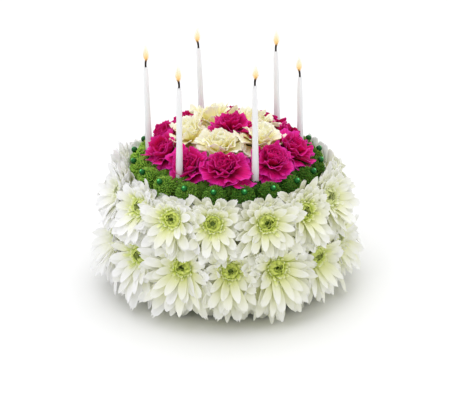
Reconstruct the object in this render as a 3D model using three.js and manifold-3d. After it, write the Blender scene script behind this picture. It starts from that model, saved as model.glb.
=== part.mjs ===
// A birthday cake made of cut flowers. A round foam form carries two rows of white chrysanthemum
// heads, a rim of green button heads with a pearl pin in each, a domed top of magenta and cream
// carnations, and six slim taper candles pushed into the form between the flowers.
// Millimetres, +Z up, front towards -Y, origin at the centre of the flat base.
import * as THREE from "three";
import { mergeVertices } from "three/addons/utils/BufferGeometryUtils.js";
import Module from "manifold-3d";

const wasm = await Module();
wasm.setup();

// ---- Driving dimensions ----

const GAP = 0.35; // clearance between neighbouring pieces
const SEAT = 1.2; // how far a head's back stands off the form, which curves away under it

// Corners of the form's outline, from the base up to the top of the dome.
const BASE = { r: 84, z: 0 };
const HEEL = { r: 96, z: 36 };
const SHOULDER = { r: 91, z: 104 };
const RIM = { r: 67, z: 124 };
const DOME = { r: 46, z: 134 };
const PEAK = { r: 18, z: 143.5 };
const TOP = { r: 0, z: 146 };
const FORM_SIDES = 36;

// Seams between the rings of flowers: each starts at a corner and leans at this angle above level.
const FLOOR_SEAM = { r: 0, z: 1, lean: 0 };
const ROW_SEAM = { r: 0, z: 78, lean: 0 };
const SHOULDER_SEAM = { ...SHOULDER, lean: 61 };
const RIM_SEAM = { ...RIM, lean: 28 };
const DOME_SEAM = { ...DOME, lean: 64 };
const PEAK_SEAM = { ...PEAK, lean: 81 };

// A head is a stack of tiers from its back to its heart. Each tier gives its petal tips and the
// notches between them as a share of the head's radius and a height above the form.
const CHRYSANTHEMUM = {
  petals: 12,
  heart: 14.5,
  tiers: [
    { tip: { share: 1.0, height: 14 }, notch: { share: 0.86, height: 11 } },
    { tip: { share: 0.72, height: 16 }, notch: { share: 0.68, height: 15 } },
    { tip: { share: 0.82, height: 21.5 }, notch: { share: 0.58, height: 19 }, turned: true },
    { tip: { share: 0.4, height: 20 }, notch: { share: 0.3, height: 21 } },
  ],
};

const CARNATION = {
  petals: 8,
  heart: 19,
  tiers: [
    { tip: { share: 1.0, height: 11 }, notch: { share: 0.86, height: 8 } },
    { tip: { share: 0.8, height: 12.5 }, notch: { share: 0.76, height: 11.5 } },
    { tip: { share: 0.86, height: 17 }, notch: { share: 0.68, height: 15 }, turned: true },
    { tip: { share: 0.54, height: 17.5 }, notch: { share: 0.5, height: 16.5 } },
    { tip: { share: 0.48, height: 21 }, notch: { share: 0.3, height: 19 } },
  ],
};

// Angles are in degrees from the front, growing towards +X. The heads stand unevenly, as set by hand.
const LOWER_ROW = {
  name: "mum_lower",
  angles: [-76, -50, -23, 1, 25.5, 51, 76, 101, 127, 152.5, 178, 204, 230, 257],
  foot: { r: 94.8, z: 53 },
  tilt: 2,
  radius: 48,
  below: FLOOR_SEAM,
  above: ROW_SEAM,
};
const UPPER_ROW = {
  name: "mum_upper",
  angles: [-76, -51.5, -29.5, -7, 20.5, 44, 67, 91, 115, 140, 164, 189, 213, 237, 261],
  foot: { r: 91.6, z: 97.6 },
  tilt: 12,
  radius: 38,
  below: ROW_SEAM,
  above: SHOULDER_SEAM,
};
const MAGENTA_RING = {
  name: "carnation_magenta",
  angles: [-70, -34, -1, 43, 76, 109, 143, 178, 214, 252],
  foot: { r: 56.5, z: 129 },
  tilt: 61,
  radius: 30,
  below: RIM_SEAM,
  above: DOME_SEAM,
};
const CREAM_RING = {
  name: "carnation_cream",
  angles: [-82, -10, 62, 134, 206],
  foot: { r: 32, z: 138.8 },
  tilt: 73,
  radius: 30,
  below: DOME_SEAM,
  above: PEAK_SEAM,
};
const CENTRE_HEAD = {
  name: "carnation_centre",
  foot: TOP,
  tilt: 90,
  radius: 19,
  below: PEAK_SEAM,
};

// The green rim: round button heads pressed into each other, each with a pearl pin.
const GREEN_RIM = {
  name: "green_rim",
  heads: 20,
  arcs: 2,
  first: 10, // angle of the first head
  foot: { r: 79, z: 114 },
  tilt: 50,
  radius: 14.6,
  fullness: 2.6, // 2 gives round domes; more gives shallower valleys between them
  stations: 6, // sections from one side of a head to the other
  facets: 5, // faces over the dome, from its uphill to its downhill edge
};
const PEARL_RADIUS = 2.7;
const PEARL_HEIGHT = 16.6;

// Candles: where each enters the flowers, how high its wax stands, and how far its top leans.
const CANDLE_ENTRY_Z = 132;
const CANDLE_FOOT_Z = 103;
const CANDLE_RADIUS = 3.2;
const CANDLE_TIP_RADIUS = 1.7;
const CANDLE_SIDES = 10;
const WICK_RADIUS = 0.65;
const WICK_LENGTH = 8;
const WICK_SOCKET = 2;
const CANDLES = [
  { angle: -37.8, r: 72, top: 216.5, lean: { x: 0.5, y: -1 } },
  { angle: 21.3, r: 71.5, top: 222, lean: { x: -1, y: 0.5 } },
  { angle: 110, r: 75, top: 196, lean: { x: -1.3, y: 0.5 } },
  { angle: 140, r: 76.5, top: 210, lean: { x: -2.2, y: 1 } },
  { angle: -161, r: 76, top: 209, lean: { x: -3, y: 0 } },
  { angle: -98, r: 75.5, top: 212, lean: { x: -1.8, y: -0.5 } },
];

// ---- Materials ----

const plain = (color, roughness) =>
  new THREE.MeshStandardMaterial({ color, roughness, metalness: 0 });
const FOAM = plain(0x4d6b3a, 0.95);
const WHITE_PETAL = plain(0xf0f0e6, 0.6);
const MAGENTA_PETAL = plain(0xb8105f, 0.6);
const CREAM_PETAL = plain(0xefe6b4, 0.6);
const GREEN_BRACT = plain(0x4f8a2c, 0.8);
const WAX = plain(0xf4f2f0, 0.45);
const CHARRED = plain(0x1c1614, 0.9);

// ---- Solids ----

function toSolid(geometry) {
  const bare = geometry.clone();
  bare.deleteAttribute("normal");
  bare.deleteAttribute("uv");
  const merged = mergeVertices(bare, 1e-4);
  return new wasm.Manifold(
    new wasm.Mesh({
      numProp: 3,
      vertProperties: merged.attributes.position.array,
      triVerts: new Uint32Array(merged.index.array),
    }),
  );
}

function toGeometry(solid) {
  const mesh = solid.getMesh();
  const geometry = new THREE.BufferGeometry();
  geometry.setAttribute("position", new THREE.BufferAttribute(mesh.vertProperties, 3));
  geometry.setIndex(new THREE.BufferAttribute(mesh.triVerts, 1));
  geometry.computeVertexNormals();
  return geometry;
}

const largest = (solid) => solid.decompose().reduce((a, b) => (a.volume() > b.volume() ? a : b));

function named(geometry, material, name) {
  const mesh = new THREE.Mesh(geometry, material);
  mesh.name = name;
  return mesh;
}

// A closed skin through rings that have the same number of points. At each end it is drawn
// together in a point of its own.
function skinGeometry(firstPoint, rings, lastPoint) {
  const columns = rings[0].length;
  const points = [firstPoint, ...rings.flat(), lastPoint];
  const at = (ring, j) => 1 + ring * columns + (j % columns);
  const triangles = [];
  for (let j = 0; j < columns; j++) {
    triangles.push(0, at(0, j + 1), at(0, j));
    for (let k = 0; k + 1 < rings.length; k++) {
      triangles.push(at(k, j), at(k, j + 1), at(k + 1, j + 1));
      triangles.push(at(k, j), at(k + 1, j + 1), at(k + 1, j));
    }
    triangles.push(at(rings.length - 1, j), at(rings.length - 1, j + 1), points.length - 1);
  }
  return new THREE.BufferGeometry().setFromPoints(points).setIndex(triangles);
}

// A repeatable stream of numbers from -1 to 1, for the unevenness of picked flowers.
function seeded(seed) {
  let state = seed;
  return () => {
    state = (state * 16807) % 2147483647;
    return (state / 2147483647) * 2 - 1;
  };
}

// ---- Room and placement ----

// How far a point in the (radius, height) plane lies past a seam, towards the top of the cake.
function pastSeam(seam, r, z) {
  const lean = THREE.MathUtils.degToRad(seam.lean);
  return (z - seam.z) * Math.cos(lean) - (r - seam.r) * Math.sin(lean);
}

// The room of one head: between two seams and, in a ring, between the planes through the cake's
// axis that halve the angles to its two neighbours.
function roomOf(ring, halfAngles) {
  const clear = GAP / 2;
  return (point) => {
    const r = Math.hypot(point.x, point.y);
    const turn = Math.atan2(point.x, -point.y);
    return (
      pastSeam(ring.below, r, point.z) > clear &&
      (!ring.above || pastSeam(ring.above, r, point.z) < -clear) &&
      (!halfAngles || r * Math.sin(turn + halfAngles.before) > clear) &&
      (!halfAngles || r * Math.sin(halfAngles.after - turn) > clear)
    );
  };
}

// A frame standing on the form at the front: its +Z is the head's axis and its +Y points uphill.
function footFrame(foot, tilt, lift) {
  const frame = new THREE.Object3D();
  frame.position.set(0, -foot.r, foot.z);
  frame.rotation.x = THREE.MathUtils.degToRad(90 - tilt);
  frame.translateZ(lift);
  frame.updateMatrix();
  return frame;
}

// A flower head around its own +Z. Where heads crowd each other the petals stay inside their room,
// and the whole head narrows on that side.
function headGeometry(form, radius, twist, place, room) {
  const columns = form.petals * 2;
  const pointAt = (j, reach, height) => {
    const around = twist + (j / columns) * Math.PI * 2;
    return new THREE.Vector3(reach * Math.cos(around), reach * Math.sin(around), height);
  };
  const drawIn = (j, wanted, height) => {
    let reach = wanted;
    while (reach > 1 && !room(pointAt(j, reach, height).applyMatrix4(place))) {
      reach -= 0.4;
    }
    return reach;
  };
  const outer = form.tiers[0].tip;
  const width = Array.from({ length: columns }, (_, j) => drawIn(j, radius, outer.height));
  const rings = form.tiers.map(({ tip, notch, turned }) =>
    width.map((wide, j) => {
      const { share, height } = (j % 2 === 1) === Boolean(turned) ? tip : notch;
      return pointAt(j, drawIn(j, share * wide, height), height);
    }),
  );
  return skinGeometry(new THREE.Vector3(), rings, new THREE.Vector3(0, 0, form.heart));
}

// ---- Candles and their wicks ----

// A taper, or with `extra` the slightly larger room that it takes up.
function candleGeometry(length, extra) {
  const bore = WICK_RADIUS + GAP;
  const outline = [
    [0, -extra],
    [CANDLE_RADIUS + extra, -extra],
    [CANDLE_RADIUS + extra, length * 0.3],
    [(CANDLE_RADIUS + CANDLE_TIP_RADIUS) / 2 + extra, length * 0.8],
    [CANDLE_TIP_RADIUS + extra, length - 0.8],
  ];
  const wickHole = [[bore, length], [bore, length - WICK_SOCKET], [0, length - WICK_SOCKET]];
  const end = extra > 0 ? [[0, length]] : wickHole;
  const points = [...outline, ...end].map(([r, z]) => new THREE.Vector2(r, z));
  return new THREE.LatheGeometry(points, CANDLE_SIDES).rotateX(Math.PI / 2);
}

function wickGeometry(bend) {
  const path = new THREE.CatmullRomCurve3([
    new THREE.Vector3(0, 0, GAP - WICK_SOCKET),
    new THREE.Vector3(0, 0, 0.3 * WICK_LENGTH),
    new THREE.Vector3(0.35 * bend, 0.1 * bend, 0.7 * WICK_LENGTH),
    new THREE.Vector3(1.2 * bend, 0.3 * bend, WICK_LENGTH),
  ]);
  const section = new THREE.Shape().absarc(0, 0, WICK_RADIUS, 0, Math.PI * 2);
  return new THREE.ExtrudeGeometry(section, { steps: 4, curveSegments: 3, extrudePath: path });
}

// A candle's frame: its origin at the foot inside the form, its +Z along the leaning wax.
function candleFrame({ angle, r, top, lean }) {
  const turn = THREE.MathUtils.degToRad(angle);
  const entry = new THREE.Vector3(r * Math.sin(turn), -r * Math.cos(turn), CANDLE_ENTRY_Z);
  const tip = new THREE.Vector3(entry.x + lean.x, entry.y + lean.y, top);
  const along = tip.sub(entry).normalize();
  const frame = new THREE.Group();
  frame.position.copy(entry).addScaledVector(along, CANDLE_FOOT_Z - CANDLE_ENTRY_Z);
  frame.quaternion.setFromUnitVectors(new THREE.Vector3(0, 0, 1), along);
  return frame;
}

const cake = new THREE.Group();
const vary = seeded(41);
const candleRooms = [];

CANDLES.forEach((candle, i) => {
  const length = candle.top - CANDLE_FOOT_Z;
  const frame = candleFrame(candle);
  const wick = named(wickGeometry(i % 2 ? 1 : -1), CHARRED, `wick_${i + 1}`);
  wick.position.z = length;
  frame.add(named(candleGeometry(length, 0), WAX, `candle_${i + 1}`), wick);
  cake.add(frame);
  frame.updateMatrixWorld(true);
  candleRooms.push(toSolid(candleGeometry(length, GAP).applyMatrix4(frame.matrixWorld)));
});

// Takes the candles' room out of a solid that is given in its own frame, and returns it in the same.
function clearOfCandles(solid, place) {
  let cleared = solid.transform(place.elements);
  for (const candleRoom of candleRooms) {
    cleared = cleared.subtract(candleRoom);
  }
  return largest(cleared).transform(place.clone().invert().elements);
}

// ---- The form ----

const formOutline = [{ r: 0, z: 0 }, BASE, HEEL, SHOULDER, RIM, DOME, PEAK, TOP];
const formGeometry = new THREE.LatheGeometry(
  formOutline.map(({ r, z }) => new THREE.Vector2(r, z)),
  FORM_SIDES,
).rotateX(Math.PI / 2);
const formSolid = clearOfCandles(toSolid(formGeometry), new THREE.Matrix4());
cake.add(named(toGeometry(formSolid), FOAM, "form"));

// ---- Rings of flower heads ----

function addHead(shape, ring, angle, halfAngles, material, name) {
  const frame = footFrame(ring.foot, ring.tilt, SEAT);
  const radius = ring.radius * (1 + 0.04 * vary());
  const room = roomOf(ring, halfAngles);
  const grown = headGeometry(shape, radius, 0.3 * vary(), frame.matrix, room);
  const spoke = new THREE.Group();
  spoke.rotation.z = THREE.MathUtils.degToRad(angle);
  spoke.updateMatrix();
  const place = spoke.matrix.clone().multiply(frame.matrix);
  const head = named(toGeometry(clearOfCandles(toSolid(grown), place)), material, name);
  head.position.copy(frame.position);
  head.rotation.copy(frame.rotation);
  spoke.add(head);
  cake.add(spoke);
}

function addRing(shape, ring, material) {
  const { angles } = ring;
  const halfway = (from, to) => THREE.MathUtils.degToRad((to - from + 360) % 360) / 2;
  angles.forEach((angle, i) => {
    const before = halfway(angles.at(i - 1), angle);
    const after = halfway(angle, angles[(i + 1) % angles.length]);
    const name = `${ring.name}_${String(i + 1).padStart(2, "0")}`;
    addHead(shape, ring, angle, { before, after }, material, name);
  });
}

addRing(CHRYSANTHEMUM, LOWER_ROW, WHITE_PETAL);
addRing(CHRYSANTHEMUM, UPPER_ROW, WHITE_PETAL);
addRing(CARNATION, MAGENTA_RING, MAGENTA_PETAL);
addRing(CARNATION, CREAM_RING, CREAM_PETAL);
addHead(CARNATION, CENTRE_HEAD, 0, null, MAGENTA_PETAL, CENTRE_HEAD.name);

// ---- The green rim ----

// One section across the rim, at `offset` heads from the middle of the nearest button.
function rimSection(ring, angle, offset) {
  const side = Math.abs(offset) * 2 * 0.96;
  const radius = ring.radius * (1 - side ** ring.fullness) ** (1 / ring.fullness);
  const place = new THREE.Matrix4()
    .makeRotationZ(THREE.MathUtils.degToRad(angle))
    .multiply(footFrame(ring.foot, ring.tilt, SEAT / 2).matrix);
  const points = [];
  for (let i = 0; i <= ring.facets; i++) {
    const swing = (i / ring.facets) * Math.PI;
    const point = new THREE.Vector3(0, radius * Math.cos(swing), radius * Math.sin(swing));
    points.push(point.applyMatrix4(place));
  }
  return points;
}

function middleOf(points) {
  const sum = points.reduce((total, point) => total.add(point), new THREE.Vector3());
  return sum.divideScalar(points.length);
}

function pearlSolid(ring, angle) {
  const place = new THREE.Matrix4()
    .makeRotationZ(THREE.MathUtils.degToRad(angle))
    .multiply(footFrame(ring.foot, ring.tilt, PEARL_HEIGHT).matrix);
  return toSolid(new THREE.OctahedronGeometry(PEARL_RADIUS, 1).applyMatrix4(place));
}

function addRimArc(ring, firstHead, heads, name) {
  const step = 360 / ring.heads;
  const last = heads * ring.stations;
  const sections = [];
  for (let i = 0; i <= last; i++) {
    const along = i / ring.stations; // in heads, from the arc's first end
    const endGap = { 0: 0.2, [last]: -0.2 }[i] ?? 0; // in degrees
    const angle = ring.first + (firstHead + along - 0.5) * step + endGap;
    const offset = i === last ? 0.5 : (along % 1) - 0.5;
    sections.push(rimSection(ring, angle, offset));
  }
  const ends = [middleOf(sections[0]), middleOf(sections.at(-1))];
  let arc = toSolid(skinGeometry(ends[0], sections, ends[1]));
  for (let i = 0; i < heads; i++) {
    arc = arc.add(pearlSolid(ring, ring.first + (firstHead + i) * step));
  }
  cake.add(named(toGeometry(clearOfCandles(arc, new THREE.Matrix4())), GREEN_BRACT, name));
}

const headsPerArc = GREEN_RIM.heads / GREEN_RIM.arcs;
for (let arc = 0; arc < GREEN_RIM.arcs; arc++) {
  addRimArc(GREEN_RIM, arc * headsPerArc, headsPerArc, `${GREEN_RIM.name}_${arc + 1}`);
}

export default cake;
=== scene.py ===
import math

import bmesh
import bpy
import numpy as np
from mathutils import Matrix, Vector


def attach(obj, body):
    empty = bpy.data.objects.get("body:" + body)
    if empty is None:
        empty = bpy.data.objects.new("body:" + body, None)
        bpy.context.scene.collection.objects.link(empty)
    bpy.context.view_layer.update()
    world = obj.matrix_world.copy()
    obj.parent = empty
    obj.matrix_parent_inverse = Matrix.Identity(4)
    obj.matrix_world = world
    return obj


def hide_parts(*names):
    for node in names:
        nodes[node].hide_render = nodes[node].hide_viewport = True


# A birthday cake of cut flowers. Petals are modelled flat, once for each kind, then copied, bent
# and set round each flower head. Sizes are in millimetres until a mesh is made, and angles are in
# degrees from the front, growing towards +X.

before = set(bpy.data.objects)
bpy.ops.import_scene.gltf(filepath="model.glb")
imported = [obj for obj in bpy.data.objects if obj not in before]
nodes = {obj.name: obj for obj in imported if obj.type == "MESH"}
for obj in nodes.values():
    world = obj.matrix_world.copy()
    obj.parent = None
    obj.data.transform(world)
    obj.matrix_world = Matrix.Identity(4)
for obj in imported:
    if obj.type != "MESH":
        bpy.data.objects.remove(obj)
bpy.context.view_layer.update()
print("frame loaded,", len(nodes), "parts")


# Turns rows of values into settings by name.
def table(names, *rows):
    return [dict(zip(names.split(), row)) for row in rows]


# Picking and modelling by hand

closeBy = 1e-3


def leaveEditing():
    if bpy.context.object and bpy.context.object.mode != "OBJECT":
        bpy.ops.object.mode_set(mode="OBJECT")
    bpy.ops.object.select_all(action="DESELECT")


def startEditing():
    bpy.ops.object.mode_set(mode="EDIT")
    bpy.ops.mesh.select_mode(type="VERT")


def pickPoints(test):
    shape = bmesh.from_edit_mesh(bpy.context.object.data)
    for point in shape.verts:
        point.select = test(point.co)
    shape.select_flush_mode()
    bmesh.update_edit_mesh(bpy.context.object.data)


# Picks the points at one place along an axis: 0, 1 or 2.
def pickLevel(axis, level):
    pickPoints(lambda co: abs(co[axis] - level) < closeBy)


def applyModifier(kind, **settings):
    modifier = bpy.context.object.modifiers.new(kind.title(), kind)
    for name, value in settings.items():
        setattr(modifier, name, value)
    bpy.ops.object.modifier_apply(modifier=modifier.name)


# Materials

def addNode(tree, kind, inputs=None, **settings):
    node = tree.nodes.new(kind)
    for name, value in settings.items():
        setattr(node, name, value)
    for name, value in (inputs or {}).items():
        if isinstance(value, bpy.types.NodeSocket):
            tree.links.new(value, node.inputs[name])
        else:
            node.inputs[name].default_value = value
    return node


def addRamp(tree, factor, stops):
    node = addNode(tree, "ShaderNodeValToRGB", {"Fac": factor})
    ramp = node.color_ramp
    while len(ramp.elements) < len(stops):
        ramp.elements.new(0.5)
    for element, (place, color) in zip(ramp.elements, stops):
        element.position = place
        element.color = (*color, 1.0)
    return node.outputs["Color"]


def mixColors(tree, factor, first, second, blend="MIX"):
    node = addNode(tree, "ShaderNodeMix", data_type="RGBA", blend_type=blend)
    for index, value in ((0, factor), (6, first), (7, second)):
        if isinstance(value, bpy.types.NodeSocket):
            tree.links.new(value, node.inputs[index])
        else:
            node.inputs[index].default_value = value if index == 0 else (*value, 1.0)
    return node.outputs[2]


def startMaterial(name, look):
    material = bpy.data.materials.new(name)
    material.use_nodes = True
    tree = material.node_tree
    shader = tree.nodes["Principled BSDF"]
    for socket, value in look.items():
        shader.inputs[socket].default_value = value
    return material, tree, shader


def attribute(tree, name):
    return addNode(tree, "ShaderNodeAttribute", attribute_name=name).outputs["Fac"]


def objectPlace(tree):
    return addNode(tree, "ShaderNodeTexCoord").outputs["Object"]


# The petal map, and its height from root to tip.
def petalAxes(tree):
    place = addNode(tree, "ShaderNodeUVMap", uv_map="petal").outputs["UV"]
    split = addNode(tree, "ShaderNodeSeparateXYZ", {"Vector": place})
    return place, split.outputs["Y"]


def stretched(tree, place, scale):
    return addNode(tree, "ShaderNodeMapping", {"Vector": place, "Scale": scale}).outputs["Vector"]


def addNoise(tree, place, scale, detail=2.0):
    return addNode(tree, "ShaderNodeTexNoise",
                   {"Vector": place, "Scale": scale, "Detail": detail}).outputs["Fac"]


# Gives a shader its colour, which a second colour may tint.
def paint(tree, shader, color, tint=None):
    if tint is not None:
        color = mixColors(tree, 1.0, color, tint, "MULTIPLY")
    tree.links.new(color, shader.inputs["Base Color"])


def addBump(tree, shader, height, distance, strength=1.0):
    bump = addNode(tree, "ShaderNodeBump",
                   {"Height": height, "Strength": strength, "Distance": distance})
    tree.links.new(bump.outputs["Normal"], shader.inputs["Normal"])


# A plain finish: fine grain in two colours, and in relief where it has a depth.
def grainMaterial(name, look, scale, detail, dark, light, relief=0.0):
    material, tree, shader = startMaterial(name, look)
    grain = addNoise(tree, objectPlace(tree), scale, detail)
    paint(tree, shader, addRamp(tree, grain, [dark, light]))
    if relief:
        addBump(tree, shader, grain, relief)
    return material


# A petal's finish: colour from root to tip, a second colour towards the heart of the head, a paler
# one for the lightest petals where the look has it, light and dark petals (by chance, and for the mums
# also by painted light and shade), fine veins that run lengthwise, and soft light coming through.
def petalMaterial(name, look):
    material, tree, shader = startMaterial(name, look["shader"])
    place, along = petalAxes(tree)
    outer = addRamp(tree, along, look["outer"])
    inner = addRamp(tree, along, look["inner"])
    if "pale" in look:
        paleness = addRamp(tree, attribute(tree, "tone"), [(0.6, (0, 0, 0)), (1.0, (1, 1, 1))])
        outer = mixColors(tree, paleness, outer, addRamp(tree, along, look["pale"]))
    color = mixColors(tree, attribute(tree, "heart"), outer, inner)
    shade = addRamp(tree, attribute(tree, "tone"), [(0.0, look["dark"]), (1.0, (1, 1, 1))])
    color = mixColors(tree, 1.0, color, shade, "MULTIPLY")
    veins = addNoise(tree, stretched(tree, place, (*look["veins"], 1)), 1.0)
    veinTone = addRamp(tree, veins, [(0.3, look["veinColor"]), (0.6, (1.0, 1.0, 1.0))])
    veined = mixColors(tree, 1.0, color, veinTone, "MULTIPLY")
    paint(tree, shader, mixColors(tree, look["veinStrength"], color, veined))
    addBump(tree, shader, veins, 0.0006, look["bump"])
    return material


# Petals

# Models one petal flat: root at the origin, tip along +Y, face up. The outline lists the share of
# its length and of its half width at each row; the fringe moves the tip's points up or down. Rows
# are set aside as they are shaped, so that the next pick doesn't meet them.
def modelPetal(look):
    aside = 100
    leaveEditing()
    rows, columns = len(look["outline"]) - 1, look["columns"]
    bpy.ops.mesh.primitive_grid_add(x_subdivisions=columns, y_subdivisions=rows, size=2)
    petal = bpy.context.object
    startEditing()
    for row, (share, width) in enumerate(look["outline"]):
        level = -1 + 2 * row / rows
        pickLevel(1, level)
        bpy.ops.transform.resize(value=(width * look["halfWidth"], 1, 1), center_override=(0, 0, 0))
        bpy.ops.transform.translate(value=(0, share * look["length"] - level + aside, 0))
    tip = aside + look["length"]
    for column, step in enumerate(look["fringe"]):
        level = (-1 + 2 * column / columns) * look["halfWidth"] * look["outline"][-1][1]
        pickPoints(lambda co: abs(co.x - level) < closeBy and abs(co.y - tip) < closeBy)
        bpy.ops.transform.translate(value=(0, step, 0))
    bpy.ops.mesh.select_all(action="SELECT")
    bpy.ops.transform.translate(value=(0, -aside, 0))
    leaveEditing()
    petal.select_set(True)
    applyModifier("SOLIDIFY", thickness=look["thickness"], offset=0.0)
    kind = takeKind(petal)
    kind["length"] = look["length"]
    if look.get("flipped"):  # the colours run from tip to root
        kind["uv"][:, 1] = 1 - 0.75 * kind["uv"][:, 1]
    return kind


# Takes a modelled piece away as a kind: its points, faces and map, ready to be copied many times.
def takeKind(piece):
    mesh = piece.data
    points = np.empty(len(mesh.vertices) * 3, np.float32)
    mesh.vertices.foreach_get("co", points)
    corners = np.empty(len(mesh.loops), np.int32)
    mesh.loops.foreach_get("vertex_index", corners)
    starts = np.empty(len(mesh.polygons), np.int32)
    mesh.polygons.foreach_get("loop_start", starts)
    uv = np.empty(len(mesh.loops) * 2, np.float32)
    mesh.uv_layers[0].data.foreach_get("uv", uv)
    bpy.data.objects.remove(piece)
    return {"points": points.reshape(-1, 3).astype(float), "corners": corners, "starts": starts,
            "uv": uv.reshape(-1, 2)}


growth = {
    "steps": 22, "overrun": 1.05,  # the line a petal bends along goes on a little past its length
    "squareness": 4,  # 2 would give a head an oval room, and more a squarer one
    "candleRoom": 1.5, "pastCandle": 30,  # petals end short of a candle, and pass on beside it
    "heartRing": 8, "turnedLift": 8,  # the ring from which a heart faces its own way, and its rise
    # how unevenly petals grow, each way
    "around": 0.16, "uneven": 0.14, "width": 0.12, "pitch": 5, "curl": 8, "flick": 20, "roll": 8,
    "tipRoll": 14, "twist": 18, "sway": 0.08, "ruffle": 0.3, "waves": 1.2,
}


# Bends copies of a flat petal. Every setting is one number for each copy. A copy starts at `pitch`
# above the flat of the head, turns by `curl` evenly and by `flick` near its tip, rolls its sides
# up, and may twist, sway sideways and ruffle.
def bendPetals(kind, length, width, pitch, curl, flick, roll, tipRoll, twist, sway, ruffle):
    along = kind["points"][:, 1] / kind["length"]
    side = kind["points"][:, 0][None, :] * width[:, None]
    thick = kind["points"][:, 2][None, :]
    share = np.clip(along, 0, growth["overrun"])[None, :]
    steps = np.linspace(0, growth["overrun"], growth["steps"])
    heading = pitch[:, None] + curl[:, None] * steps + flick[:, None] * steps ** 4
    middle = (heading[:, 1:] + heading[:, :-1]) / 2
    stride = steps[1] * length[:, None]
    start = np.zeros((len(length), 1))
    run = np.concatenate([start, np.cumsum(np.cos(middle), 1)], 1) * stride
    climb = np.concatenate([start, np.cumsum(np.sin(middle), 1)], 1) * stride
    run, climb, heading = (np.array([np.interp(along, steps, line) for line in lines])
                           for lines in (run, climb, heading))
    halfWidth = np.maximum(np.abs(kind["points"][:, 0]).max() * width[:, None], 1e-6)
    turn = np.maximum(roll[:, None] + (tipRoll - roll)[:, None] * share, 0.02)
    radius = halfWidth / turn
    swing = side / radius
    x = (radius - thick) * np.sin(swing)
    z = radius - (radius - thick) * np.cos(swing)
    amount, waves, phase = ruffle
    z = z + amount[:, None] * share ** 2 * np.sin(waves[:, None] * side / halfWidth + phase[:, None])
    spin = twist[:, None] * share
    x, z = x * np.cos(spin) - z * np.sin(spin), x * np.sin(spin) + z * np.cos(spin)
    x = x + sway[:, None] * share ** 2 * length[:, None]
    return x, run - z * np.sin(heading), climb + z * np.cos(heading)


# How far petals may reach from the middle of their head, which is less where it meets others.
def reachOf(room, around):
    across, slope = np.cos(around), np.sin(around)
    sideways = np.where(across > 0, room["after"], room["before"])
    lengthwise = np.where(slope > 0, room["up"], room["down"])
    power = growth["squareness"]
    reach = (np.abs(across) / sideways) ** power + (np.abs(slope) / lengthwise) ** power
    reach = reach ** (-1 / power)
    for direction, distance in room.get("posts", []):  # candles in the way
        offset = (around - direction + math.pi) % (2 * math.pi) - math.pi
        reach = np.minimum(reach, distance - growth["candleRoom"] + growth["pastCandle"] * offset ** 2)
    return reach


# Sets one circle of petals round a head's axis, which is +Z. Uphill is +Y.
def layRing(kinds, ring, size, dice, room):
    count = ring["count"]
    loose = ring.get("loose", 1.0)

    def spread(middle, amount):
        return middle + loose * amount * dice.uniform(-1, 1, count)

    def degrees(name):
        return np.radians(spread(ring.get(name, 0.0), growth[name]))

    arcStart, arcEnd = np.radians(ring.get("arc", (0.0, 360.0)))
    step = (arcEnd - arcStart) / count
    around = arcStart + step * (np.arange(count) + ring.get("turn", 0.0) + spread(0.0, growth["around"]))
    kind = kinds[ring["kind"]]
    slope = np.sin(around)
    splay = np.where(slope > 0, room.get("splayUp", 0.0), room.get("splayDown", 0.0)) * slope ** 2
    reach = reachOf(room, around) + ring.get("beyond", 0.0)
    fit = np.clip((reach - ring["root"]) / size, 0.1, 1.0) ** ring["reach"]
    x, out, up = bendPetals(
        kind,
        length=size * ring["reach"] * spread(1.0, ring.get("uneven", growth["uneven"])) * fit,
        width=ring.get("width", 1.0) * spread(1.0, growth["width"]),
        pitch=degrees("pitch") + np.radians(splay), curl=degrees("curl"), flick=degrees("flick"),
        roll=degrees("roll"), tipRoll=degrees("tipRoll"),
        twist=np.radians(spread(0.0, ring.get("twistBy", growth["twist"]))),
        sway=spread(0.0, growth["sway"]),
        ruffle=(spread(ring.get("ruffle", 0.0), growth["ruffle"] * ring.get("ruffle", 0.0)),
                spread(ring.get("waves", 5.0), growth["waves"]), dice.uniform(0, 6.28, count)))
    out = out + ring["root"]
    up = up + ring["rise"]
    cos, sin = np.cos(around)[:, None], np.sin(around)[:, None]
    points = np.stack([out * cos + x * sin, out * sin - x * cos, up], 2)
    n = points.shape[1]
    tone = np.repeat(dice.uniform(0, 1, count), n)
    return {"kind": kind, "points": points.reshape(-1, 3), "copies": count, "tone": tone,
            "heart": np.full(count * n, ring.get("heart", 0.0)), "look": 0}


# Sets one copy of a kind in a head, scaled and lifted.
def layCore(kind, scale, lift, look):
    points = kind["points"] * np.array(scale) + np.array([0, 0, lift])
    n = len(points)
    return {"kind": kind, "points": points, "copies": 1, "tone": np.full(n, 0.5),
            "heart": np.zeros(n), "look": look}


# A head leans some way by chance. Its heart may face another way than its outer petals: `face` is
# degrees sideways and up.
def growHead(kinds, rings, size, dice, lean, room, face=(0.0, 0.0)):
    parts = [layRing(kinds, ring, size, dice, room) for ring in rings]
    tilt = Matrix.Rotation(math.radians(lean), 3, Vector((*dice.uniform(-1, 1, 2), 0)).normalized())
    for i, part in enumerate(parts):
        share = min(1.0, (i + 1) / growth["heartRing"]) ** 1.5
        sideways, up = (math.radians(amount) * share for amount in face)
        turn = Matrix.Rotation(sideways, 3, "Y") @ Matrix.Rotation(-up, 3, "X")
        part["points"] = part["points"] @ np.array(turn @ tilt).T
        part["points"][:, 2] += growth["turnedLift"] * abs(sideways)
    return parts


def placeParts(parts, place):
    for part in parts:
        part["points"] = part["points"] @ place[:3, :3].T + place[:3, 3]
    return parts


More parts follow.
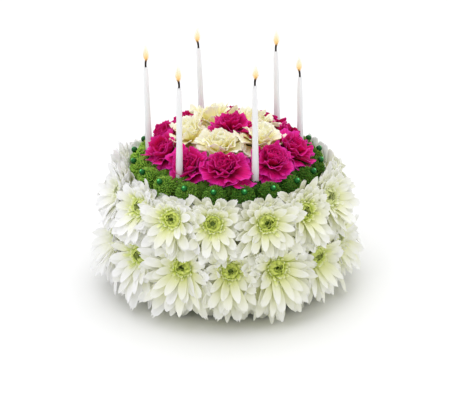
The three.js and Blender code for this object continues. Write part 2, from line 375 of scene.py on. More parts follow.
# Makes one mesh of many bent copies, and turns millimetres into metres.
def meshFrom(name, parts, materials, replaced):
    points, corners, starts, uvs, tones, hearts, looks = [], [], [], [], [], [], []
    pointCount = cornerCount = 0
    for part in parts:
        kind, copies = part["kind"], part["copies"]
        n = len(kind["points"])
        offsets = pointCount + n * np.arange(copies)
        corners.append((kind["corners"][None, :] + offsets[:, None]).ravel())
        shifts = cornerCount + len(kind["corners"]) * np.arange(copies)
        starts.append((kind["starts"][None, :] + shifts[:, None]).ravel())
        uvs.append(np.tile(kind["uv"], (copies, 1)))
        looks.append(np.full(len(kind["starts"]) * copies, part["look"]))
        points.append(part["points"])
        tones.append(part["tone"])
        hearts.append(part["heart"])
        pointCount += n * copies
        cornerCount += len(kind["corners"]) * copies
    mesh = bpy.data.meshes.new(name)
    points = np.concatenate(points) * 0.001
    mesh.vertices.add(len(points))
    mesh.vertices.foreach_set("co", points.ravel().astype(np.float32))
    corners = np.concatenate(corners).astype(np.int32)
    mesh.loops.add(len(corners))
    mesh.loops.foreach_set("vertex_index", corners)
    starts = np.concatenate(starts).astype(np.int32)
    mesh.polygons.add(len(starts))
    mesh.polygons.foreach_set("loop_start", starts)
    mesh.polygons.foreach_set("material_index", np.concatenate(looks).astype(np.int32))
    mesh.update(calc_edges=True)
    mesh.uv_layers.new(name="petal").data.foreach_set("uv", np.concatenate(uvs).ravel())
    for label, values in (("tone", tones), ("heart", hearts)):
        layer = mesh.attributes.new(label, "FLOAT", "POINT")
        layer.data.foreach_set("value", np.concatenate(values).astype(np.float32))
    for material in materials:
        mesh.materials.append(material)
    mesh.shade_smooth()
    mesh.set_sharp_from_angle(angle=math.radians(60))
    piece = bpy.data.objects.new(name, mesh)
    bpy.context.scene.collection.objects.link(piece)
    finishPiece(piece, replaced)


def finishPiece(piece, replaced):
    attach(piece, "root")
    if replaced:
        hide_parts(*replaced)


# Heads against their neighbours

# A head's place on the cake: out and up to its foot, then tilted above the level and lifted.
def headPlace(row, angle, lift):
    turn = Matrix.Rotation(math.radians(angle), 4, "Z")
    foot = Matrix.Translation((0, -row["foot"][0], row["foot"][1]))
    lean = Matrix.Rotation(math.radians(90 - row["tilt"]), 4, "X")
    return np.array(turn @ foot @ lean @ Matrix.Translation((0, 0, lift)))


# Where the candles near a head stand, seen from it: direction and distance.
def postsBy(row, angle):
    place = np.linalg.inv(headPlace(row, angle, 0.0))
    posts = []
    for foot, along, _ in candleLines:
        x, y, z, _ = place @ np.array([*(foot + along * (row["foot"][1] - foot.z)), 1.0])
        if np.hypot(x, y) < candle["seenFrom"][0] and abs(z) < candle["seenFrom"][1]:
            posts.append((math.atan2(y, x), np.hypot(x, y)))
    return posts


# A row's setting is one number, or one for each head.
def oneOf(setting, i):
    return setting[i] if isinstance(setting, list) else setting


# The angles from a head to the one before it and the one after it.
def toNeighbours(angles, i):
    return (angles[i] - angles[i - 1]) % 360, (angles[(i + 1) % len(angles)] - angles[i]) % 360


# Where heads meet, every other head lies above.
def liesAbove(i):
    return i % 2 == 0


# A head's room on each side, as far as its neighbours, the other rows and the candles leave it.
def roomOf(row, i):
    spacing = math.radians(1) * (row["foot"][0] + row["rise"]) / 2
    overlap = row["above"] if liesAbove(i) else row["below"]
    before, after = toNeighbours(row["angles"], i)
    room = {name: oneOf(row.get(name, 0.0), i) for name in ("up", "down", "splayUp", "splayDown")}
    return {**room, "before": before * spacing + overlap, "after": after * spacing + overlap,
            "posts": postsBy(row, row["angles"][i])}


# Past a limit, a length is pressed into a little more room, and `over` says how much was pressed.
def press(value, limit, room):
    over = np.maximum(value - limit, 0)
    return np.where(over > 0, limit + room * (1 - np.exp(-over / room)), value), over


# A head that lies above reaches over its neighbours and is lifted; theirs are tucked in behind.
# Seams between the rows hold petals back below (-1) or above (1) a line: its radius, height and
# lean in section, the room past it, and how far petals slide along it.
def crowd(part, flower, row, i):
    x, y, height = part["points"].T
    radius = np.hypot(x, y)
    angle = row["angles"][i]
    offset = (np.degrees(np.arctan2(x, -y)) - angle + 180) % 360 - 180
    scale = np.radians(1) * np.maximum(radius, 1)
    before, after = toNeighbours(row["angles"], i)
    half = np.where(offset < 0, before, after) / 2 * scale
    share, room, push = flower["over"] if liesAbove(i) else flower["under"]
    arc, _ = press(np.abs(offset) * scale, half + share, room)
    offset = np.sign(offset) * arc / scale
    looseness = 0.5 + part["tone"]
    outward = push * np.maximum(np.abs(arc) - half, 0) * looseness
    for side, seamRadius, seamHeight, lean, seamRoom, seamPush in row["seams"]:
        cos, sin = math.cos(math.radians(lean)), math.sin(math.radians(lean))
        distance = side * ((seamRadius - radius) * sin + (height - seamHeight) * cos)
        pressed, over = press(distance, 0.0, seamRoom)
        shift = side * (pressed - distance)
        slide = seamPush * over * looseness
        radius = radius - shift * sin + slide * cos
        height = height + shift * cos + slide * sin
    tilt = math.radians(row["tilt"])
    radius = radius + outward * math.cos(tilt)
    height = height + outward * math.sin(tilt)
    turned = np.radians(angle + offset)
    return np.stack([radius * np.sin(turned), -radius * np.cos(turned), height], 1)


# Petals that would reach the floor are pressed up off it, and spread a little.
def liftOffFloor(points, level, room, spread):
    depth, over = press(-points[:, 2], -(level + room), room)
    out = 1 + spread * over / np.maximum(np.hypot(points[:, 0], points[:, 1]), 1)
    return np.stack([points[:, 0] * out, points[:, 1] * out, -depth], 1)


# Candles

candle = {
    "entry": 132.0, "foot": 103.0,  # heights at which candles meet the flowers, and end below them
    "radius": 3.3, "tipRadius": 2.0,
    "places": [  # angle, distance from the middle, height of the wax, lean of the top in x and y
        (-37.8, 72.0, 216.5, 0.5, -1.0), (21.3, 71.5, 222.0, -1.0, 0.5),
        (110.0, 75.0, 196.0, -1.3, 0.5), (140.0, 76.5, 210.0, -2.2, 1.0),
        (-161.0, 76.0, 209.0, -3.0, 0.0), (-98.0, 75.5, 212.0, -1.8, -0.5)],
    "sides": 28, "clearance": 0.5, "give": 3.0,  # petals this near give way
    "dimple": (20.0, 8.0),  # how far round and how deep petals are pressed down
    "seenFrom": (40.0, 12.0),  # heads this near, sideways and along their axis, leave room
}


def candleLine(entry):
    angle, distance, top, leanX, leanY = entry
    turn = math.radians(angle)
    start = Vector((distance * math.sin(turn), -distance * math.cos(turn), candle["entry"]))
    end = Vector((start.x + leanX, start.y + leanY, top))
    along = (end - start).normalized()
    return start + along * (candle["foot"] - candle["entry"]), along, top - candle["foot"]


candleLines = [candleLine(entry) for entry in candle["places"]]


# Where points stand from a candle: how far up it, which way sideways and how far.
def besideCandle(points, foot, along):
    away = points - np.array(foot)
    height = away @ np.array(along)
    sideways = away - height[:, None] * np.array(along)
    return height, sideways, np.linalg.norm(sideways, axis=1)


# Petals part round the candles that stand between them.
def partRoundCandles(points):
    for foot, along, length in candleLines:
        height, sideways, distance = besideCandle(points, foot, along)
        clear = candle["radius"] + candle["clearance"]
        near = (distance < clear + candle["give"]) & (height > -2) & (height < length)
        wanted = clear + candle["give"] * (distance / (clear + candle["give"])) ** 2
        move = np.where(near, wanted / np.maximum(distance, 1e-3), 1.0)
        points = points + sideways * (move - 1)[:, None]
    return points


# Each candle presses the petals round it down.
def sinkRoundCandles(points):
    for foot, along, _ in candleLines:
        _, _, distance = besideCandle(points, foot, along)
        wide, deep = candle["dimple"]
        near = np.clip(1 - distance / wide, 0, 1)
        points = points - np.array([0, 0, deep]) * (near ** 1.5)[:, None]
    return points


# White chrysanthemums

mum = {
    "kinds": table(
        "name length halfWidth thickness columns outline fringe flipped",
        ("broad", 36.0, 5.3, 0.4, 4,
         [(0, .32), (.29, .6), (.54, .91), (.7, 1), (.84, .86), (.94, .52), (1, .14)], [], False),
        ("notched", 36.0, 5.2, 0.4, 4,
         [(0, .32), (.29, .57), (.54, .87), (.72, 1), (.86, .94), (.95, .72), (1, .44)],
         [-1.3, 1.2, -1.2, .6, -1.5], False),
        ("slim", 36.0, 4.1, 0.4, 4,
         [(0, .42), (.28, .72), (.52, 1), (.7, .96), (.84, .74), (.94, .4), (1, .08)], [], False),
        ("floret", 10.0, 1.9, 0.35, 2, [(0, .6), (.35, .75), (.72, 1), (1, .8)], [-.6, .1, -.7], False),
        ("bud", 10.0, 1.6, 0.35, 2, [(0, .7), (.3, .95), (.6, 1), (.85, .75), (1, .35)], [], True)),
    "rings": table(  # from the back of the head to its heart
        "kind count turn root rise reach pitch curl flick roll tipRoll width heart uneven loose",
        ("broad"  , 13, 0.4,   8,   0,  1.0, -2,  -6, -4,  30, 20,    1,   0, 0.08,   1),
        ("slim"   , 14, 0.3,   6,   2,  1.0,  6,  -8, -4,  34, 22,  1.1,   0, 0.14,   1),
        ("notched", 13,   0,   5,   3, 0.97, 15, -12, -6,  34, 20, 1.05,   0, 0.14,   1),
        ("broad"  , 13, 0.5,   5, 4.5, 0.93, 25, -18,  0,  34, 20,    1,   0, 0.14,   1),
        ("slim"   , 13, 0.2,   5,   5, 0.88, 34, -24,  4,  38, 26, 1.15,   0, 0.14,   1),
        ("notched", 12, 0.7,   5,   6, 0.78, 43, -30,  8,  42, 28,  0.9,   0, 0.14,   1),
        ("slim"   , 12, 0.4,   6,   7, 0.62, 50, -28, 12,  46, 30, 1.05,   0, 0.25,   1),
        ("floret" , 21,   0, 8.4,   7, 0.26, 34,  -4,  0, 100, 60, 1.15, 0.8,  0.3, 1.6),
        ("floret" , 21, 0.5, 7.8,   8, 0.22, 46,   2,  0, 110, 66,    1, 0.9, 0.28, 1.5),
        ("floret" , 18,   0,   7, 8.5, 0.16, 60,  10,  0, 120, 75, 0.95,   1, 0.25, 1.3),
        ("bud"    , 19,   0, 7.6,   8, 0.19, 76,  70,  0,  60, 50,  1.1,   1, 0.22,   1),
        ("bud"    , 14, 0.5, 5.6,   8, 0.16, 78,  62,  0,  60, 50,    1,   1, 0.22,   1),
        ("bud"    ,  9, 0.2, 3.8, 7.6, 0.14, 82,  40,  0,  60, 50,    1,   1,  0.2,   1)),
    "lower": {"name": "mum_lower", "foot": (94.8, 53.0), "tilt": 2.0, "size": 48.0, "rise": 8.0,
              "angles": [-76, -50, -23, 1, 25.5, 51, 76, 101, 127, 152.5, 178, 204, 230, 257],
              "up": 31.0, "down": 50.0, "above": 15.0, "below": 9.0,
              "splayDown": [9, 12, 13, 13, 13, 15, 17, 13, 12, 11, 11, 11, 12, 9],
              "sideways": [12, 15, 6, 0, -8, -18, -18, -8, 0, 8, -6, 6, 0, 0], "upward": 9.0,
              "extra": table(
                  "kind count arc turn root rise reach beyond pitch curl roll tipRoll width uneven",
                  ("broad", 11, (205, 335), 0.5, 10, -3, 1.0, 4, -14,  0, 24, 20, 1.15, 0.1),
                  ("broad", 10,  (20, 160), 0.5,  8,  1, 1.0, 8,   6, -6, 30, 20,    1, 0.1)),
              "seams": [(1, 0.0, 72.0, 0.0, 40.0, -0.38)]},
    "upper": {"name": "mum_upper", "foot": (91.6, 97.6), "tilt": 12.0, "size": 46.0, "rise": 8.0,
              "angles": [-76, -51.5, -29.5, -7, 20.5, 44, 67, 91, 115, 140, 164, 189, 213, 237, 261],
              "up": [26, 21, 15, 17, 20, 22, 20, 17, 16, 17, 18, 17, 17, 18, 24], "down": 40.0,
              "above": 14.0, "below": 8.0, "splayDown": 4.0,
              "sideways": [10, 15, 10, 0, -6, -14, -18, -8, 0, 8, -6, 0, 6, 0, 0], "upward": 6.0,
              "splayUp": [20, 14, 5, 3, 3, 5, 8, 14, 14, 10, 14, 8, 14, 16, 22],
              "extra": table(
                  "kind count arc turn root rise reach beyond pitch curl flick roll tipRoll width "
                  "uneven twistBy",
                  ("notched", 4, (38, 142), 0.5, 5, 4, 1.0, 8,  0, 0, 24, 64, 50, 1.1, 0.3, 45),
                  ("slim"   , 4, (50, 130), 0.5, 5, 6, 1.0, 4, 12, 0, 10, 64, 50,   1, 0.3, 45)),
              "seams": [(-1, 0.0, 76.0, 0.0, 40.0, 0.3), (1, 93.0, 108.0, 61.0, 8.0, 0.0)]},
    "over": (12.0, 12.0, 0.3), "under": (8.0, 12.0, -0.3),  # share, room and push at neighbours
    "floor": (0.5, 6.0, 0.35),  # lowest point, room to be pressed into, spread
    "lean": 9.0, "sizes": (0.96, 1.08), "lift": 1.2, "core": (6.8, 6.8, 5.5), "coreLift": 5.0,
    # pale and deep: how strongly the painted light and the painted shade reach the heads on each side
    "pale": 1.2, "paleSide": -82, "deep": 0.45, "shadeSide": -15, "paleHeart": 0.9,
}

whitePetals = petalMaterial("white petals", {
    "shader": {"Roughness": 0.55, "Subsurface Weight": 0.15, "Subsurface Radius": (1.0, 1.0, 0.8),
               "Subsurface Scale": 0.004, "Specular IOR Level": 0.2, "Sheen Weight": 0.05},
    "outer": [(0.0, (.76, .81, .22)), (0.125, (.83, .865, .34)), (0.26, (.875, .895, .54)),
              (0.44, (.905, .913, .75)), (0.7, (.925, .93, .89)), (1.0, (.935, .935, .945))],
    "inner": [(0.0, (.24, .34, .03)), (0.4, (.74, .84, .19)), (0.75, (.91, .95, .42)),
              (0.92, (.95, .97, .62)), (1.0, (.96, .97, .78))],
    "pale": [(0.0, (.90, .915, .55)), (0.26, (.93, .935, .80)), (0.5, (.94, .94, .92)),
             (0.8, (.94, .94, .945))],
    "dark": (.92, .92, .83),
    "veins": (16, 1.2), "veinColor": (.92, .92, .88), "veinStrength": 0.35, "bump": 0.3,
})


# The green backs of the heads are partly their own dark green and partly painted shade, where they show
# down the hollow of a mum's eye.
flowerCore = grainMaterial("flower core", {"Roughness": 0.85}, 900.0, 3.0,
                           (0.35, (.07, .12, .02)), (0.7, (.30, .40, .09)), 0.001)


# The green back of a head, which its petals grow from.
def modelCore():
    leaveEditing()
    bpy.ops.mesh.primitive_uv_sphere_add(segments=16, ring_count=8, radius=1)
    core = bpy.context.object
    startEditing()
    pickPoints(lambda co: co.z < -0.3)
    bpy.ops.transform.resize(value=(0.7, 0.7, 1), center_override=(0, 0, 0))
    leaveEditing()
    return takeKind(core)


coreKind = modelCore()
mumKinds = {look["name"]: modelPetal(look) for look in mum["kinds"]}


# Gives a head its green back and sets it in its row.
def settleHead(parts, flower, row, angle):
    parts.append(layCore(coreKind, flower["core"], flower["coreLift"], 1))
    placeParts(parts, headPlace(row, angle, flower["lift"]))


# Petals are painted lighter and whiter towards the pale side, as painted light, and darker and yellower
# towards the deep one, as painted shade; the outermost heads have pale hearts.
def makeMums(row, seed):
    for i, angle in enumerate(row["angles"]):
        dice = np.random.default_rng(seed + i)
        room = roomOf(row, i)
        size = row["size"] * dice.uniform(*mum["sizes"])
        parts = growHead(mumKinds, mum["rings"], size, dice, mum["lean"] * dice.uniform(-1, 1), room,
                         (row["sideways"][i], row["upward"]))
        for ring in row["extra"]:
            parts.append(layRing(mumKinds, ring, size, dice, room))
        settleHead(parts, mum, row, angle)
        pale, deep = (max(0.0, math.cos(math.radians(angle - mum[side])))
                      for side in ("paleSide", "shadeSide"))
        shift = mum["pale"] * pale ** 1.3 - mum["deep"] * deep
        outermost = abs(math.sin(math.radians(angle))) ** 8
        for part in parts:
            part["points"] = partRoundCandles(liftOffFloor(crowd(part, mum, row, i), *mum["floor"]))
            part["tone"] = np.clip(part["tone"] + shift, 0, 1)
            part["heart"] = part["heart"] * (1 - mum["paleHeart"] * outermost)
        node = f'{row["name"]}_{i + 1:02d}'
        meshFrom(f"white_{node}", parts, [whitePetals, flowerCore], [node])


makeMums(mum["lower"], 100)
makeMums(mum["upper"], 300)
print("white chrysanthemums made")


# Carnations

carnation = {
    "kinds": table(
        "name length halfWidth thickness columns outline fringe",
        ("fan", 28.0, 11.0, 0.35, 12,
         [(0, .12), (.24, .22), (.46, .46), (.66, .76), (.84, .96), (1, 1)],
         [-1.6, .2, -.4, .5, -.3, .5, -.3, .5, -.5, .4, -.3, .2, -1.7]),
        ("fold", 24.0, 8.0, 0.35, 10,
         [(0, .16), (.24, .34), (.46, .6), (.66, .84), (.84, 1), (1, .94)],
         [-1.2, .4, -.4, .5, -.3, .6, -.4, .5, -.4, .3, -1.2])),
    "rings": table(
        "kind count turn root rise reach pitch curl flick roll tipRoll ruffle waves width heart",
        ("fan" , 8,   0,   2, 1,  1.0, 20, -14, -22,  30, 16, 1.0,   5, 1.1,    0),
        ("fan" , 8, 0.5,   2, 2, 0.92, 36, -14, -20,  46, 26, 1.5,   5,   1,  0.2),
        ("fan" , 7, 0.2,   2, 2,  0.8, 56,  -6, -12,  60, 40, 2.0, 5.5,   1, 0.45),
        ("fold", 7, 0.7,   2, 2, 0.76, 70,   2,  -8,  80, 56, 2.2, 4.5,   1, 0.75),
        ("fold", 6,   0, 1.2, 2, 0.74, 80,   6,   6, 110, 70, 2.2, 4.5,   1,    1),
        ("fold", 4, 0.4, 0.5, 2,  0.7, 87,   0,   0, 120, 90, 2.0,   4,   1,    1)),
    "magenta": {"name": "carnation_magenta", "foot": (56.5, 129.0), "tilt": 61.0, "size": 27.0,
                "angles": [-70, -34, -1, 43, 76, 109, 143, 178, 214, 252],
                "rise": 8.0, "above": 6.0, "below": 3.0,
                "up": 20.0, "down": [15, 16, 20, 20, 27, 30, 25, 22, 22, 18],
                "seams": [(-1, 70.0, 126.0, 28.0, 8.0, 0.1), (1, 46.0, 134.0, 64.0, 5.0, -0.5)]},
    "cream": {"name": "carnation_cream", "foot": (32.0, 138.8), "tilt": 73.0, "size": 31.0,
              "angles": [-82, -10, 62, 134, 206],
              "rise": 4.0, "above": 8.0, "below": 4.0, "up": 20.0, "down": 19.5,
              "seams": [(-1, 46.0, 134.0, 64.0, 4.0, 0.6), (1, 18.0, 143.5, 81.0, 5.0, -0.5)]},
    "centre": {"name": "carnation_centre", "foot": (4.5, 146.0), "tilt": 90.0, "size": 28.0,
               "middle": (4.0, -4.5), "limit": (20.0, 7.0), "lifted": 0.2,
               "room": {"before": 22.5, "after": 22.5, "up": 21.0, "down": 21.0}},
    "over": (3.0, 5.0, 0.3), "under": (0.5, 5.0, 0.05),
    "lean": 6.0, "lift": 1.2, "core": (4.5, 4.5, 5.0), "coreLift": 4.0,
}

carnationKinds = {look["name"]: modelPetal(look) for look in carnation["kinds"]}
carnationShader = {"Roughness": 0.6, "Subsurface Weight": 0.3, "Subsurface Scale": 0.002,
                   "Specular IOR Level": 0.12, "Sheen Weight": 0.03}
magentaPetals = petalMaterial("magenta petals", {
    "shader": {**carnationShader, "Subsurface Radius": (1.0, 0.2, 0.5),
               "Sheen Tint": (1.0, 0.5, 0.9, 1.0)},
    "outer": [(0.0, (.30, .001, .02)), (0.4, (.68, .002, .12)), (0.8, (.93, .007, .31)),
              (1.0, (.97, .055, .54))],
    "inner": [(0.0, (.14, .0005, .006)), (0.5, (.42, .001, .03)), (0.85, (.62, .0015, .09)),
              (1.0, (.74, .006, .20))],
    "dark": (.88, .82, .86),
    "veins": (20, 1.5), "veinColor": (.6, .45, .55), "veinStrength": 0.7, "bump": 0.6,
})
creamPetals = petalMaterial("cream petals", {
    "shader": {**carnationShader, "Subsurface Radius": (1.0, 1.0, 0.7)},
    "outer": [(0.0, (.93, .87, .30)), (0.4, (.97, .945, .54)), (0.8, (.97, .96, .76)),
              (1.0, (.965, .96, .87))],
    "inner": [(0.0, (.91, .84, .26)), (0.5, (.97, .935, .52)), (0.85, (.98, .965, .74)),
              (1.0, (.98, .975, .87))],
    "dark": (.975, .96, .90),
    "veins": (20, 1.5), "veinColor": (.90, .87, .74), "veinStrength": 0.3, "bump": 0.3,
})


def makeCarnations(row, material, seed):
    for i, angle in enumerate(row["angles"]):
        dice = np.random.default_rng(seed + i)
        parts = growHead(carnationKinds, carnation["rings"], row["size"], dice,
                         carnation["lean"] * dice.uniform(-1, 1), roomOf(row, i))
        settleHead(parts, carnation, row, angle)
        for part in parts:
            part["points"] = partRoundCandles(sinkRoundCandles(crowd(part, carnation, row, i)))
        node = f'{row["name"]}_{i + 1:02d}'
        name = node.replace("carnation_", "") + "_carnation"
        meshFrom(name, parts, [material, flowerCore], [node])


# The centre head stands a little off the middle, with its rim pressed in and up.
def makeCentre(look, seed):
    dice = np.random.default_rng(seed)
    parts = growHead(carnationKinds, carnation["rings"], look["size"], dice, 0.0, look["room"])
    settleHead(parts, carnation, look, 0.0)
    for part in parts:
        points = part["points"]
        away = points[:, :2] - np.array([0.0, -look["foot"][0]])
        radius = np.hypot(away[:, 0], away[:, 1])
        pressed, over = press(radius, *look["limit"])
        share = pressed / np.maximum(radius, 1e-6)
        part["points"] = np.column_stack([np.array(look["middle"]) + away * share[:, None],
                                          points[:, 2] + look["lifted"] * over])
    meshFrom("centre_carnation", parts, [magentaPetals, flowerCore], [look["name"]])


makeCarnations(carnation["magenta"], magentaPetals, 500)
makeCarnations(carnation["cream"], creamPetals, 600)
makeCentre(carnation["centre"], 700)
print("carnations made")


# Green button heads and their pearl pins

goldenAngle = 2.39996  # in radians

button = {
    "count": 20, "first": 10.0, "foot": (79.0, 114.0), "tilt": 50.0, "core": 10.2, "lift": 4.6,
    "bracts": 520, "bractLength": 3.4, "bractRadius": 0.8, "bright": 1.0, "depth": 1.0,
    "cover": 1.45, "scatter": 0.28, "sunk": 1.0,  # reach round a core, uneven lean, depth in it
    "pearlRadius": 3.0, "pearlHeight": 16.6,
    # The green ramps run from a bract's base to its tip, painted dark at the base as shade between
    # bracts; the second is painted light, for heads on the left.
    "old": [(0.0, (.002, .013, .001)), (0.4, (.012, .075, .005)), (0.75, (.055, .235, .018)),
            (1.0, (.14, .42, .045))],
    "leftLitGreens": [(0.0, (.05, .14, .01)), (0.4, (.33, .62, .07)), (0.75, (.56, .89, .17)),
              (1.0, (.73, .96, .32))],
    "clump": {  # smaller green clumps fill the gaps on the uphill side, painted darker as shade in them
        "foot": (72.0, 120.0), "tilt": 60.0, "core": 8.2, "bracts": 230, "bright": 0.0, "depth": 0.72},
}


# A bract is a four-sided spike, widest a little below its middle.
def modelBract(look):
    middle = 0.45
    leaveEditing()
    bpy.ops.mesh.primitive_cone_add(vertices=4, radius1=look["bractRadius"], depth=1,
                                    location=(0, 0, 0.5), end_fill_type="NGON")
    bract = bpy.context.object
    bpy.ops.object.transform_apply(location=True)
    startEditing()
    bpy.ops.mesh.select_all(action="SELECT")
    bpy.ops.mesh.bisect(plane_co=(0, 0, middle), plane_no=(0, 0, 1))
    pickLevel(2, middle)
    bpy.ops.transform.resize(value=(1.7, 1.1, 1), center_override=(0, 0, middle))
    leaveEditing()
    return takeKind(bract)


def modelPearl(look):
    leaveEditing()
    bpy.ops.mesh.primitive_uv_sphere_add(segments=24, ring_count=14, radius=look["pearlRadius"])
    return takeKind(bpy.context.object)


# Sets bracts all round a core in a spiral, each leaning and bending its own way.
def layBracts(kind, look, dice):
    count = look["bracts"]
    fall = np.arccos(1 - (np.arange(count) + 0.5) / count * look["cover"])
    around = np.arange(count) * goldenAngle + dice.uniform(-.2, .2, count)
    fall = fall + dice.normal(0, .05, count)
    out = np.stack([np.sin(fall) * np.cos(around), np.sin(fall) * np.sin(around), np.cos(fall)], 1)
    lean = out + np.array([0, 0, .25]) + dice.normal(0, look["scatter"], (count, 3))
    lean /= np.linalg.norm(lean, axis=1)[:, None]
    side = np.cross(lean, dice.normal(0, 1, (count, 3)))
    side /= np.linalg.norm(side, axis=1)[:, None]
    flat = np.cross(lean, side)
    length = look["bractLength"] * dice.uniform(.7, 1.15, count) * np.clip(fall / .45, .35, 1)
    x, y, z = (axis[None, :] for axis in kind["points"].T)
    bend = dice.uniform(-.9, .9, count)
    height = z * length[:, None]
    x = x + bend[:, None] * z ** 2 * 1.6
    points = (out * (look["core"] - look["sunk"]))[:, None, :] + height[..., None] * lean[:, None, :] \
        + x[..., None] * side[:, None, :] + y[..., None] * flat[:, None, :]
    n = len(kind["points"])
    # Tone is partly chance and partly the painted light on the left.
    tone = np.repeat(dice.uniform(0, 0.2, count), n) * look["bright"] + 0.75 * look["leftLight"]
    paintedDomeLight = look["depth"] * (1.08 - 0.1 * fall ** 2)  # painted light: brightest at the top of the head, painted shade down its sides, and depth darkens a whole head as shade
    # Bracts are painted darker towards their bases, as shade between them.
    rise = np.clip(np.tile(kind["points"][:, 2], count) * np.repeat(paintedDomeLight, n), 0, 1)
    return {"kind": kind, "points": points.reshape(-1, 3), "copies": count, "tone": tone,
            "heart": rise, "look": 0}


# The heart attribute carries painted light and shade, and tone the painted light on the left.
def bractMaterial(look):
    material, tree, shader = startMaterial("green bracts", {
        "Roughness": 0.7, "Specular IOR Level": 0.2,
        "Subsurface Weight": 0.1, "Subsurface Scale": 0.001})
    rise = attribute(tree, "heart")
    color = mixColors(tree, attribute(tree, "tone"), addRamp(tree, rise, look["old"]),
                      addRamp(tree, rise, look["leftLitGreens"]))
    patch = addNoise(tree, objectPlace(tree), 120.0)
    patch = addRamp(tree, patch, [(0.35, (.7, .8, .6)), (0.65, (1.2, 1.1, 1.0))])
    paint(tree, shader, color, patch)
    return material


# Each pearl has a painted highlight at its crown, and painted shade all round its sides.
def pearlMaterial():
    material, tree, shader = startMaterial("green pearl", {
        "Roughness": 0.15, "Specular IOR Level": 0.25})
    cloud = addNoise(tree, objectPlace(tree), 260.0)
    body = addRamp(tree, cloud, [(0.3, (.002, .085, .011)), (0.7, (.003, .13, .017))])
    _, height = petalAxes(tree)
    paintedHighlight = addRamp(tree, height, [
        (0.35, (.4, .45, .4)), (0.6, (.75, .8, .75)), (0.82, (1.3, 1.25, 1.3)),
        (0.89, (5.0, 2.4, 3.0)), (0.94, (60.0, 7.0, 16.0))])
    paint(tree, shader, body, paintedHighlight)
    return material


# Heads on the left get painted light: their bracts are lighter and yellower, as light falls from the
# left.
def growButton(bract, look, angle, dice):
    core = layCore(coreKind, [look["core"]] * 3, 0.0, 0)
    # The core is painted near the darkest green, as shade under the bracts.
    core["heart"] = np.full(len(core["points"]), 0.1)
    leftLight = max(0.0, -math.sin(math.radians(angle))) ** 1.2 + dice.uniform(-0.1, 0.1)
    return [layBracts(bract, {**button, **look, "leftLight": min(max(leftLight, 0.0), 1.1)}, dice), core]


# Each arc of heads is one piece, and so are the pearls on its pins.
def makeButtons(look, seed):
    bract, pearl = modelBract(look), modelPearl(look)
    greenBracts, greenPearl = bractMaterial(look), pearlMaterial()
    perArc = look["count"] // 2
    for arc in range(2):
        heads, pins = [], []
        for i in range(perArc):
            number = arc * perArc + i
            dice = np.random.default_rng(seed + number)
            angle = look["first"] + number * 360 / look["count"]
            parts = growButton(bract, look, angle, dice)
            placeParts(parts, headPlace(look, angle, look["lift"]))
            clump = growButton(bract, look["clump"], angle, dice)
            parts += placeParts(clump, headPlace(look["clump"], angle + 180 / look["count"], 0.0))
            for part in parts:
                part["points"] = partRoundCandles(part["points"])
            heads += parts
            pins += placeParts([layCore(pearl, (1, 1, 1), 0.0, 0)],
                               headPlace(look, angle, look["pearlHeight"]))
        node = f"green_rim_{arc + 1}"
        meshFrom(f"green_buttons_{arc + 1}", heads, [greenBracts], [node])
        meshFrom(f"pearls_{arc + 1}", pins, [greenPearl], [])


makeButtons(button, 900)
print("green rim made")


# Wax candles

# The wax is painted a little green where it stands among the magenta heads, against the pink light they
# throw on it.
def waxMaterial():
    material, tree, shader = startMaterial("white wax", {
        "Roughness": 0.4, "Subsurface Weight": 0.9, "Subsurface Radius": (1.0, 1.0, 1.0),
        "Subsurface Scale": 0.015, "Coat Weight": 0.1, "Coat Roughness": 0.3})
    place = objectPlace(tree)
    streaks = addNoise(tree, stretched(tree, place, (1, 1, 0.12)), 350.0, 3.0)
    color = addRamp(tree, streaks, [(0.3, (.735, .75, .755)), (0.7, (.785, .80, .805))])
    quarters = addNode(tree, "ShaderNodeSeparateXYZ", {"Vector": stretched(tree, place, (4, 4, 4))})
    pinkBounceOffset = addRamp(tree, quarters.outputs["Z"], [  # 1 is 250 mm up
        (0.44, (1, 1, 1)), (0.57, (.93, 1, .985)), (0.68, (.95, 1, .99)), (0.82, (1, 1, 1))])
    paint(tree, shader, color, pinkBounceOffset)
    addBump(tree, shader, streaks, 0.0004, 0.3)
    return material


# Stands a piece on a candle's line, and turns millimetres into metres.
def placeAlong(piece, foot, along):
    turn = Vector((0, 0, 1)).rotation_difference(along).to_matrix().to_4x4()
    piece.data.transform(Matrix.Scale(0.001, 4) @ Matrix.Translation(foot) @ turn)
    piece.data.update()


# Draws a round piece up from its foot, ring by ring. A ring is x, y, height and radius.
def drawUp(name, sides, rings, smoothAngle):
    leaveEditing()
    (x, y, level, radius), *others = rings
    bpy.ops.mesh.primitive_circle_add(vertices=sides, radius=radius, fill_type="NGON",
                                      location=(x, y, level))
    piece = bpy.context.object
    bpy.ops.object.transform_apply(location=True)
    piece.name = name
    startEditing()
    bpy.ops.mesh.select_all(action="SELECT")
    for nextX, nextY, height, width in others:
        bpy.ops.mesh.extrude_region_move(
            TRANSFORM_OT_translate={"value": (nextX - x, nextY - y, height - level)})
        bpy.ops.transform.resize(value=(width / radius, width / radius, 1),
                                 center_override=(nextX, nextY, height))
        x, y, level, radius = nextX, nextY, height, width
    bpy.ops.mesh.select_all(action="SELECT")
    bpy.ops.mesh.normals_make_consistent(inside=False)
    leaveEditing()
    piece.select_set(True)
    bpy.ops.object.shade_smooth_by_angle(angle=math.radians(smoothAngle))
    return piece


# The wax narrows to its tip and ends in a soft rim round a small melted cup with the wick in it.
def waxRings(length, wide, slim):
    rings = [(0, wide * 0.96), (0.4, wide), (0.15 * length, wide), (0.3 * length, wide),
             (0.55 * length, (wide * 1.35 + slim) / 2.35), (0.8 * length, (wide + slim) / 2),
             (length - 6.0, slim * 1.16), (length - 1.6, slim * 1.02), (length - 0.7, slim * 0.96),
             (length - 0.15, slim * 0.8), (length, slim * 0.62), (length - 0.35, slim * 0.48),
             (length - 0.6, slim * 0.3)]
    return [(0, 0, height, radius) for height, radius in rings]


